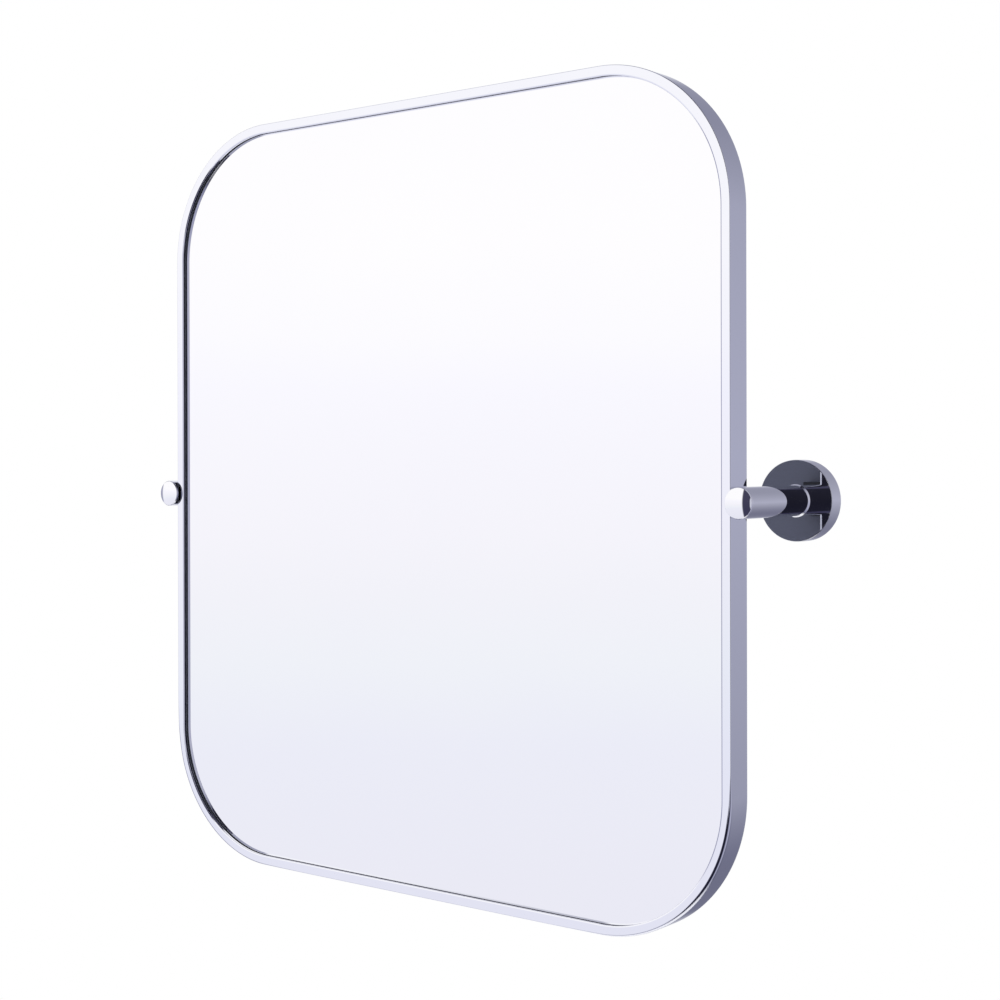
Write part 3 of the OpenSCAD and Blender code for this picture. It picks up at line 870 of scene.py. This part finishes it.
@dataclass
class Pivot(Fitting):
    """One pivot: boss, stud and nut on the mirror, and the bush with its brake in the post."""

    side_x: float = 270
    sheet: float = 1.2
    boss: tuple[float, float, float] = (14, 9, 24)
    nut_flats: float = 9
    nut_height: float = 5
    past_nut: float = 1.5
    thread_radius: float = 3
    thread_pitch: float = 1
    pin_radius: float = 4
    collar_radius: float = 7
    collar: float = 1
    washer: float = 0.8
    play: float = 0.2
    pin_reach: float = 10
    socket_flats: float = 4
    socket_depth: float = 4
    bush_radius: float = 6.45
    bush_gap: float = 0.5
    plug_radius: float = 3.95
    plug_seat: float = 1.5
    plug_hole: float = 8
    pin_cut: float = 16
    stack_y: float = -84.641
    screw_height: float = 2.6
    tension_flats: float = 4
    tension_depth: float = 1.6
    spring: float = 0.4
    dish: float = 0.3
    spring_bore: float = 1.6

    @property
    def boss_in(self) -> float:
        """Distance of the boss's inner face off the middle."""
        return self.side_x - self.sheet - self.boss[0]

    @property
    def flat_x(self) -> float:
        """Distance of the post's flat off the middle."""
        return self.side_x + self.collar + self.washer + self.play

    @property
    def springs_end(self) -> float:
        """Y of the end of the spring stack."""
        return self.stack_y + self.screw_height + 2 * (self.spring + self.dish)

    def line(self, x: float) -> Spindle:
        """The pivot's line from a distance x off the middle."""
        return pivot_line(self.side, x, self.pivot_y)

    def brake_line(self, y: float) -> Spindle:
        """The post's own line from a depth y, along which the brake is stacked."""
        return Spindle((self.x, y, 0), (0, 1, 0), (1, 0, 0))

    def build(self) -> None:
        """Builds every piece of the pivot."""
        self.boss_block()
        self.stud()
        self.nut()
        self.washers()
        self.brake()

    def boss_block(self) -> None:
        """The block behind the frame's side that the stud passes through."""
        half = tuple(size / 2 for size in self.boss)
        centre = (self.side.value * (self.boss_in + half[0]), self.pivot_y, 0)
        piece = self.piece("boss_block", prism(half, centre, 0.6), BLACK_OXIDE, "pivot_boss",
                           MIRROR_BODY)
        drill(piece, self.line(self.boss_in - OVERCUT).drum(
            self.thread_radius + PLAY, self.boss[0] + 2 * OVERCUT))

    def stud(self) -> None:
        """The pivot stud: thread, collar and journal, with a hexagon socket in its end."""
        start = self.boss_in - self.nut_height - self.past_nut
        collar = self.side_x - start
        end = self.flat_x + self.pin_reach - start
        root = self.thread_radius - 0.55 * self.thread_pitch
        turns = np.arange(1, 3.6, self.thread_pitch / 2)
        thread = [(root if k % 2 == 0 else self.thread_radius, h, 0.05)
                  for k, h in enumerate(turns)]
        socket = self.socket_flats / 2
        profile = [(0, 0), (root - 0.2, 0, 0.1), (self.thread_radius, 0.6, 0.05)]
        profile += thread + [(self.thread_radius, 4, 0.05)]
        profile += [
            (self.thread_radius, collar), (self.collar_radius, collar, 0.15),
            (self.collar_radius, collar + self.collar, 0.15),
            (self.pin_radius, collar + self.collar), (self.pin_radius, end, 0.4),
            (socket + 0.4, end, 0.1), (socket, end - 0.3, 0, 6),
            (socket, end - self.socket_depth, 0, 6), (0, end - self.socket_depth)]
        self.piece("pivot_stud", self.line(start).turn(profile), TURNED_STEEL, "pivot_pin",
                   MIRROR_BODY)

    def nut(self) -> None:
        """The lock nut: a hexagon whose corners are turned off at both ends."""
        flats, height = self.nut_flats / 2, self.nut_height
        bore = self.thread_radius + PLAY
        profile = [(bore, 0.3), (bore + 0.3, 0), (flats - 0.1, 0), (flats, 0.45, 0, 6),
                   (flats, height - 0.45, 0, 6), (flats - 0.1, height), (bore + 0.3, height),
                   (bore, height - 0.3)]
        line = self.line(self.boss_in - height)
        self.piece("lock_nut", line.turn(profile, closed=True), ZINC_PLATE, "pin_nut", MIRROR_BODY)

    def washers(self) -> None:
        """The slip washer on the stud, and the bush that the stud turns in."""
        bore, rim = self.pin_radius + PLAY, self.collar_radius
        washer = self.line(self.side_x + self.collar).ring(bore, rim, self.washer,
                                                           (0.1, 0.15, 0.15))
        self.piece("slip_washer", washer, NYLON, "thrust_washer", MIRROR_BODY)
        bush = self.line(self.flat_x).ring(bore, self.bush_radius, self.pin_reach + self.bush_gap,
                                           (0.2, 0.2, 0.2))
        piece = self.piece("nylon_bush", bush, NYLON, "pivot_bush")
        reach = self.plug_hole
        drill(piece, self.brake_line(self.pivot_y - reach).drum(self.plug_radius + PLAY, reach))

    def brake(self) -> None:
        """The brake in the post's front bore: pressure screw, two dished springs and plug."""
        rim, flats = self.plug_radius, self.tension_flats / 2
        height, deep = self.screw_height, self.tension_depth
        screw = [(0, deep), (flats, deep, 0, 6), (flats, 0.2, 0, 6), (flats + 0.45, 0, 0.05),
                 (rim, 0, 0.2), (rim, height, 0.2), (0, height)]
        self.piece("pressure_screw", self.brake_line(self.stack_y).turn(screw), BLACK_OXIDE,
                   "tension_screw")
        start = self.stack_y + height
        pitch, bore = self.spring + self.dish, self.spring_bore
        crown = (rim + bore) / 2
        dished = [(bore, 0, 0.05), (crown, 0, 0.4), (rim, self.dish, 0.08), (rim, pitch, 0.08),
                  (crown, self.spring, 0.4), (bore, self.spring, 0.05)]
        stack = self.brake_line(start).turn(dished, closed=True, steps=4)
        stack = stack.plus(self.brake_line(start + pitch).turn(dished, closed=True, steps=4))
        self.piece("dished_springs", stack, SPRING_STEEL, "disc_springs")
        length = self.pivot_y - self.pin_radius + self.plug_seat - self.springs_end
        plug = [(0, 0), (rim, 0, 0.4), (rim, length), (0, length)]
        piece = self.piece("brake_plug", self.brake_line(self.springs_end).turn(plug), NYLON,
                           "friction_plug")
        drill(piece, self.line(self.side_x).drum(self.pin_radius + PLAY, self.pin_cut))


# ---------- The wall side ----------


@dataclass
class WallMount(Fitting):
    """One wall side: the post with its domed cap, and the flange over its bracket."""

    post_radius: float = 10.5
    flat: float = 5.5
    cap_rear_y: float = -87.641
    flat_end_y: float = -62.8
    flat_x: float = 272
    cap: float = 1.5
    dome_radius: float = 40
    spigot_radius: float = 3.95
    spigot: float = 3
    front_bore: float = 4
    bush_bore: float = 6.5
    bush_bore_end: float = 283
    foot_flare: float = 0.8
    post_spigot_radius: float = 6
    post_spigot: float = 2.95
    screw_radius: float = 3
    screw_bite: float = 12
    screw_hole: float = 20
    flange_radius: float = 28
    flange: float = 12.5
    flange_face: float = 3
    flange_rim: float = 2
    bracket: float = 6
    bracket_radius: float = 25.6
    bracket_hole: float = 8
    groove: float = 1
    groove_half: float = 0.55
    wall_screw_pitch: float = 34
    wall_screw_radius: float = 2.4
    recess_radius: float = 4.5
    recess: float = 3
    head_radius: float = 5
    head: float = 5
    head_flats: float = 5
    head_socket: float = 3
    washer_radius: float = 7
    washer: float = 1.2
    grub_radius: float = 2
    grub_tip: float = 24.65
    grub_point: float = 0.5
    grub_flats: float = 2
    grub_socket: float = 1.4
    grub_inset: float = 0.4
    grub_hole: float = 5

    def line(self, y: float) -> Spindle:
        """The post's line from a depth y towards the wall, with 0 towards the mirror."""
        return Spindle((self.x, y, 0), (0, 1, 0), (-self.side.value, 0, 0))

    def build(self) -> None:
        """Builds every piece of the wall side."""
        self.domed_cap()
        self.post_bar()
        self.flange_cup()
        self.bolt()
        self.bracket_casting()
        self.set_screw()

    def domed_cap(self) -> None:
        """The end cap: a shallow dome with an eased rim, and the spigot behind it.

        The dome's height at a radius r is sqrt(dome_radius^2 - r^2) over its centre.
        """
        rim, edge = self.post_radius, 0.4
        radii = np.linspace(0, rim - edge, 12)
        top = math.sqrt(self.dome_radius**2 - rim**2)
        heights = top - np.sqrt(self.dome_radius**2 - radii**2) - self.cap
        dome = [(float(r), float(h)) for r, h in zip(radii, heights)]
        dome[-1] += (0.12,)
        profile = dome + [(rim, edge - self.cap, 0.2), (rim, 0, 0.1), (self.spigot_radius, 0, 0.1),
                          (self.spigot_radius, self.spigot, 0.3), (0, self.spigot)]
        skin = self.line(self.cap_rear_y).turn(profile, columns=144)
        self.piece("domed_cap", skin, CHROMED_BRASS, "end_cap")

    def post_bar(self) -> None:
        """The post: a round bar with a flat milled beside the mirror, flared at its foot.

        Along the flat, the radius at an angle a from it is the lesser of the bar's radius
        and flat / cos(a). Two columns stand exactly on the flat's edges.
        """
        half = math.acos(self.flat / self.post_radius)
        across = np.linspace(-half, half, 25)
        around = np.linspace(half, 2 * math.pi - half, 121)[1:-1]
        angles = np.concatenate([across, around])
        length = -self.flange - self.cap_rear_y
        step = self.flat_end_y - self.cap_rear_y
        radius, spigot = self.post_radius, self.post_spigot_radius
        flare = radius + self.foot_flare
        rows = rounded([
            (0, 0, 0, 1), (radius, 0, 0.25, 1), (radius, step, 0, 1), (radius, step, 0, 0),
            (radius, length - self.foot_flare, 0.3, 0), (flare, length, 0, 0),
            (spigot, length, 0.05, 0), (spigot, length + self.post_spigot, 0.3, 0),
            (0, length + self.post_spigot, 0, 0)])
        facing = np.maximum(np.cos(angles), 1e-3)[None]
        limit = np.where((rows[:, 2:3] > 0) & (np.cos(angles)[None] > 0), self.flat / facing, 1e3)
        radii = np.minimum(rows[:, :1], limit)
        grid = self.line(self.cap_rear_y).carry(radii, rows[:, 1], angles)
        piece = self.piece("post_bar", Skin.of(grid), CHROMED_BRASS, "post")
        front = self.pivot_y - self.cap_rear_y
        out = 2 * OVERCUT
        pin = pivot_line(self.side, self.flat_x - out, self.pivot_y)
        screw = self.line(-self.flange - self.screw_bite - OVERCUT)
        drill(
            piece,
            self.line(self.cap_rear_y - OVERCUT).drum(self.front_bore, front + OVERCUT, 48),
            pin.drum(self.bush_bore, self.bush_bore_end - self.flat_x + out),
            screw.drum(self.screw_radius + PLAY, self.screw_hole, 48),
        )

    def flange_cup(self) -> None:
        """The wall flange: a cup over the bracket, with an eased front edge."""
        hole, rim = self.post_spigot_radius + PLAY, self.flange_radius
        inner, depth, face = rim - self.flange_rim, self.flange, self.flange_face
        profile = [(hole, 0, 0.05), (rim, 0, 0.55), (rim, depth, 0.15), (inner, depth, 0.15),
                   (inner, face, 0.6), (hole, face, 0.1)]
        skin = self.line(-self.flange).turn(profile, closed=True, columns=192)
        piece = self.piece("flange_cup", skin, CHROMED_BRASS, "wall_flange")
        drill(piece, self.grub_line(inner - OVERCUT).drum(
            self.grub_radius + PLAY, self.grub_hole, 48))

    def bolt(self) -> None:
        """The socket-head screw that holds the post to the flange, and its washer."""
        floor = -self.flange + self.flange_face
        washer = self.line(floor).ring(self.screw_radius + PLAY, self.washer_radius, self.washer,
                                       (0.1, 0.15, 0.25))
        self.piece("bolt_washer", washer, ZINC_PLATE, "post_washer")
        start = -self.flange - self.screw_bite
        seat = floor + self.washer - start
        top, flats = seat + self.head, self.head_flats / 2
        bolt = [(0, 0), (self.screw_radius, 0, 0.4), (self.screw_radius, seat),
                (self.head_radius, seat, 0.15), (self.head_radius, top, 0.5),
                (flats + 0.6, top, 0.1), (flats, top - 0.3, 0, 6),
                (flats, top - self.head_socket, 0, 6), (0, top - self.head_socket)]
        self.piece("post_bolt", self.line(start).turn(bolt), BLACK_OXIDE, "post_screw")

    def bracket_casting(self) -> None:
        """The bracket: a cast ring with a V groove round it and two recessed screw holes."""
        hole, rim, thick = self.bracket_hole, self.bracket_radius, self.bracket
        low = thick / 2 - self.groove_half
        high = thick / 2 + self.groove_half
        profile = [(hole, 0, 0.3), (rim, 0, 0.4), (rim, low - self.groove, 0.1),
                   (rim - self.groove, low, 0.05), (rim - self.groove, high, 0.05),
                   (rim, high + self.groove, 0.1), (rim, thick, 0.2), (hole, thick, 0.3)]
        skin = self.line(-thick).turn(profile, closed=True, steps=4)
        piece = self.piece("bracket_casting", skin, CAST_ZINC, "wall_bracket")
        wide, narrow = self.recess_radius, self.wall_screw_radius
        floor, end = self.recess + OVERCUT, thick + 2 * OVERCUT
        hole = [(0, 0), (wide, 0), (wide, floor), (narrow, floor), (narrow, end), (0, end)]
        for sign in (-1, 1):
            up = sign * self.wall_screw_pitch / 2
            line = Spindle((self.x, -thick - OVERCUT, up), (0, 1, 0), (0, 0, 1))
            drill(piece, line.turn(hole, columns=48))

    def grub_line(self, radius: float) -> Spindle:
        """The line of the set screw: straight down through the underside of the rim."""
        return Spindle((self.x, -self.bracket / 2, -radius), (0, 0, -1), (1, 0, 0))

    def set_screw(self) -> None:
        """The set screw: a cone point in the bracket's groove, and a socket in its end."""
        length = self.flange_radius - self.grub_inset - self.grub_tip
        cone = self.grub_radius - self.grub_point
        flats = self.grub_flats / 2
        profile = [(0, 0), (self.grub_point, 0), (self.grub_radius, cone, 0.05),
                   (self.grub_radius, length, 0.15), (flats + 0.3, length, 0.05),
                   (flats, length - 0.15, 0, 6), (flats, length - self.grub_socket, 0, 6),
                   (0, length - self.grub_socket)]
        skin = self.grub_line(self.grub_tip).turn(profile, columns=48)
        self.piece("set_screw", skin, BLACK_OXIDE, "grub_screw")


# ---------- Studio ----------


@dataclass
class Studio:
    """The plain studio: camera, pale floor, soft light, and what the metal sees of it."""

    azimuth: float = 38.306
    elevation: float = 0.147
    roll: float = -0.117
    camera_at: tuple[float, float, float] = (0.8445, -1.0558, 0.03065)
    focal_px: float = 1712.45
    centre_px: tuple[float, float] = (500.0, 460.9)
    floor_z: float = -1.0
    floor_radius: float = 0.8
    fade_from: float = 0.5
    fade_to: float = 0.97
    floor_grit: tuple[float, float] = (900.0, 2e-4)
    lamp_at: tuple[float, float, float] = (-0.9, -1.6, 1.6)
    lamp_size: float = 1.6
    lamp_watts: float = 22

    def camera(self) -> None:
        """Sets up the camera at the photograph's place, turned by azimuth, tilt and roll."""
        a, e, o = (math.radians(v) for v in (self.azimuth, self.elevation, self.roll))
        back = np.array([math.sin(a) * math.cos(e), -math.cos(a) * math.cos(e), math.sin(e)])
        right = np.array([math.cos(a), math.sin(a), 0])
        up = np.cross(back, right)
        across = right * math.cos(o) + up * math.sin(o)
        upward = up * math.cos(o) - right * math.sin(o)
        lens = bpy.data.cameras.new("camera")
        lens.sensor_width = SENSOR_MM
        lens.lens = self.focal_px / IMAGE_PX * SENSOR_MM
        lens.shift_x = (IMAGE_PX / 2 - self.centre_px[0]) / IMAGE_PX
        lens.shift_y = (self.centre_px[1] - IMAGE_PX / 2) / IMAGE_PX
        camera = link_object("camera", lens)
        turn = Matrix(np.stack([across, upward, back], 1).tolist()).to_4x4()
        camera.matrix_world = Matrix.Translation(self.camera_at) @ turn
        bpy.context.scene.camera = camera

    def floor(self) -> None:
        """A pale round floor that fades out at its rim: a disc of rings about the middle."""
        rings, spokes = 12, 64
        radii = np.linspace(0, self.floor_radius / MM, rings)[:, None]
        angles = np.arange(spokes) * (2 * math.pi / spokes)
        radii = np.broadcast_to(radii, (rings, spokes))
        grid = upright(self.floor_z / MM).carry(radii, np.zeros(rings), angles)
        mesh = Skin.of(grid).mesh("floor")
        floor = link_object("floor", mesh)
        material = bpy.data.materials.new("pale_floor")
        graph = Graph(material)
        place = graph.add("TexCoord", "Object")
        far = graph.add("VectorMath", "Value", {0: place, 1: (0, 0, self.floor_z)},
                        operation="DISTANCE")
        fade = graph.step_of(far, self.fade_from * self.floor_radius,
                             self.fade_to * self.floor_radius)
        per_m, depth = self.floor_grit
        grit = graph.add("TexNoise", "Fac", {"Vector": place, "Scale": per_m})
        bump = graph.add("Bump", "Normal", {"Height": grit, "Distance": depth})
        paint = graph.add("BsdfPrincipled", "BSDF", {
            "Base Color": linear("#F6F6F8"), "Roughness": 0.7, "Normal": bump})
        clear = graph.add("BsdfTransparent", "BSDF")
        mix = graph.add("MixShader", "Shader", {0: fade, 1: paint, 2: clear})
        graph.node("OutputMaterial", {"Surface": mix})
        mesh.materials.append(material)

    def key_light(self) -> None:
        """One soft box from above the viewer's left, which the metal doesn't mirror."""
        lamp = bpy.data.lights.new("soft_box", "AREA")
        lamp.shape = "DISK"
        lamp.size = self.lamp_size
        lamp.energy = self.lamp_watts
        light = link_object("soft_box", lamp)
        light.matrix_world = Matrix.Translation(self.lamp_at) @ aim_at_middle(self.lamp_at)
        light.visible_glossy = False

    def surroundings(self) -> None:
        """The world: white to the camera, even to matt surfaces, and cards for the metal.

        The metal sees pale walls with a few slate cards, as a function of the direction:
        heading is atan2(-x, -y), 0 straight in front of the mirror, and height is z.
        """
        world = bpy.data.worlds.new("studio")
        bpy.context.scene.world = world
        graph = Graph(world)
        away = graph.add("TexCoord", "Generated")
        axis = graph.node("SeparateXYZ", {"Vector": away}).outputs
        math_of, step_of, blend_of = graph.math_of, graph.step_of, graph.blend_of
        leftward = math_of("MULTIPLY", axis["X"], -1.0)
        forward = math_of("MULTIPLY", axis["Y"], -1.0)
        heading = math_of("MULTIPLY", math_of("ARCTAN2", leftward, forward), math.degrees(1))
        ring = graph.ramp_of(heading, [
            (-120, "#A9AABB"), (-100, "#B4B5C4"), (-84, "#D6D7E1"), (-74, "#B4B5C4"),
            (-60, "#B4B5C4"), (-50, "#8C8DA0"), (-40, "#37384A"), (-34, "#1C1C26"),
            (3, "#22222E"), (5, "#414055"), (18.5, "#414055"), (20.5, "#FFFFFF"),
            (67, "#FFFFFF"), (71, "#A4A5B8"), (120, "#A4A5B8")])
        glow = graph.ramp_of(axis["Z"], [
            (-1, "#DCDDE9"), (-0.24, "#EBEBF5"), (-0.167, "#ECEDF7"), (-0.12, "#F0F2F8"),
            (-0.08, "#F3F3F9"), (-0.045, "#F6F5FB"), (0, "#F8F7FD"), (0.04, "#FAF9FF"),
            (0.07, "#FDFCFF"), (0.12, "#FFFEFF"), (1, "#FFFFFF")])
        front = blend_of(1.0, ring, glow, "MULTIPLY")
        high = math_of("ABSOLUTE", axis["Z"])
        level = step_of(high, 0.3, 0.26)
        ahead = math_of("MULTIPLY", step_of(heading, -15, -13.5), step_of(heading, 4.8, 3.6))
        front = blend_of(math_of("MULTIPLY", level, ahead), front, linear("#C9CAD8"))
        card_end = math_of("MULTIPLY", step_of(high, 0.46, 0.56), step_of(heading, 18.5, 20.5))
        front = blend_of(card_end, front, linear("#9FA0B2"))
        grey = graph.ramp_of(axis["Z"], [
            (-1, "#4A4B5E"), (-0.85, "#5A5B6E"), (-0.66, "#6C6D80"), (-0.5, "#737489"),
            (-0.2, "#9A9BAD"), (0, "#ACADC0"), (0.3, "#9E9FB1"), (0.5, "#9293A5"),
            (0.66, "#7F8094"), (0.85, "#5A5B6E"), (1, "#4A4B5E")])
        behind = blend_of(step_of(leftward, 0.32, 0.66), grey, linear("#F2F3FA"))
        behind = blend_of(step_of(leftward, 0.68, 0.76), behind, linear("#8E8FA3"))
        seen = blend_of(step_of(axis["Y"], -0.08, 0.2), front, behind)
        path = graph.node("LightPath").outputs
        shiny = math_of("MAXIMUM", path["Is Glossy Ray"], path["Is Transmission Ray"])
        colour = blend_of(shiny, linear("#EFEFF2"), seen)
        colour = blend_of(path["Is Camera Ray"], colour, (1.0, 1.0, 1.0, 1.0))
        back = graph.add("Background", "Background", {"Color": colour, "Strength": 1.0})
        graph.node("OutputWorld", {"Surface": back})

    def build(self) -> None:
        """Builds the studio."""
        self.camera()
        self.floor()
        self.key_light()
        self.surroundings()
        bpy.context.scene.view_settings.view_transform = "Standard"


def aim_at_middle(place: tuple[float, float, float]) -> Matrix:
    """A turn that points the -Z of a lamp at the frame's origin.

    Args:
        place: Where the lamp stands.

    Returns:
        The turn as a 4x4 matrix.
    """
    back = np.array(place) / np.linalg.norm(place)
    right = np.cross((0, 0, 1), back)
    right = right / np.linalg.norm(right)
    return Matrix(np.stack([right, np.cross(back, right), back], 1).tolist()).to_4x4()


def main() -> None:
    """Builds the mirror, its pivots, its wall mounts and the studio, in that order."""
    logging.basicConfig(level=logging.INFO, format="%(name)s: %(message)s")
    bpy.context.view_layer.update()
    Studio().build()
    MirrorPanel().build()
    for side in Side:
        Pivot(side).build()
        WallMount(side).build()


if __name__ == "__main__":
    main()
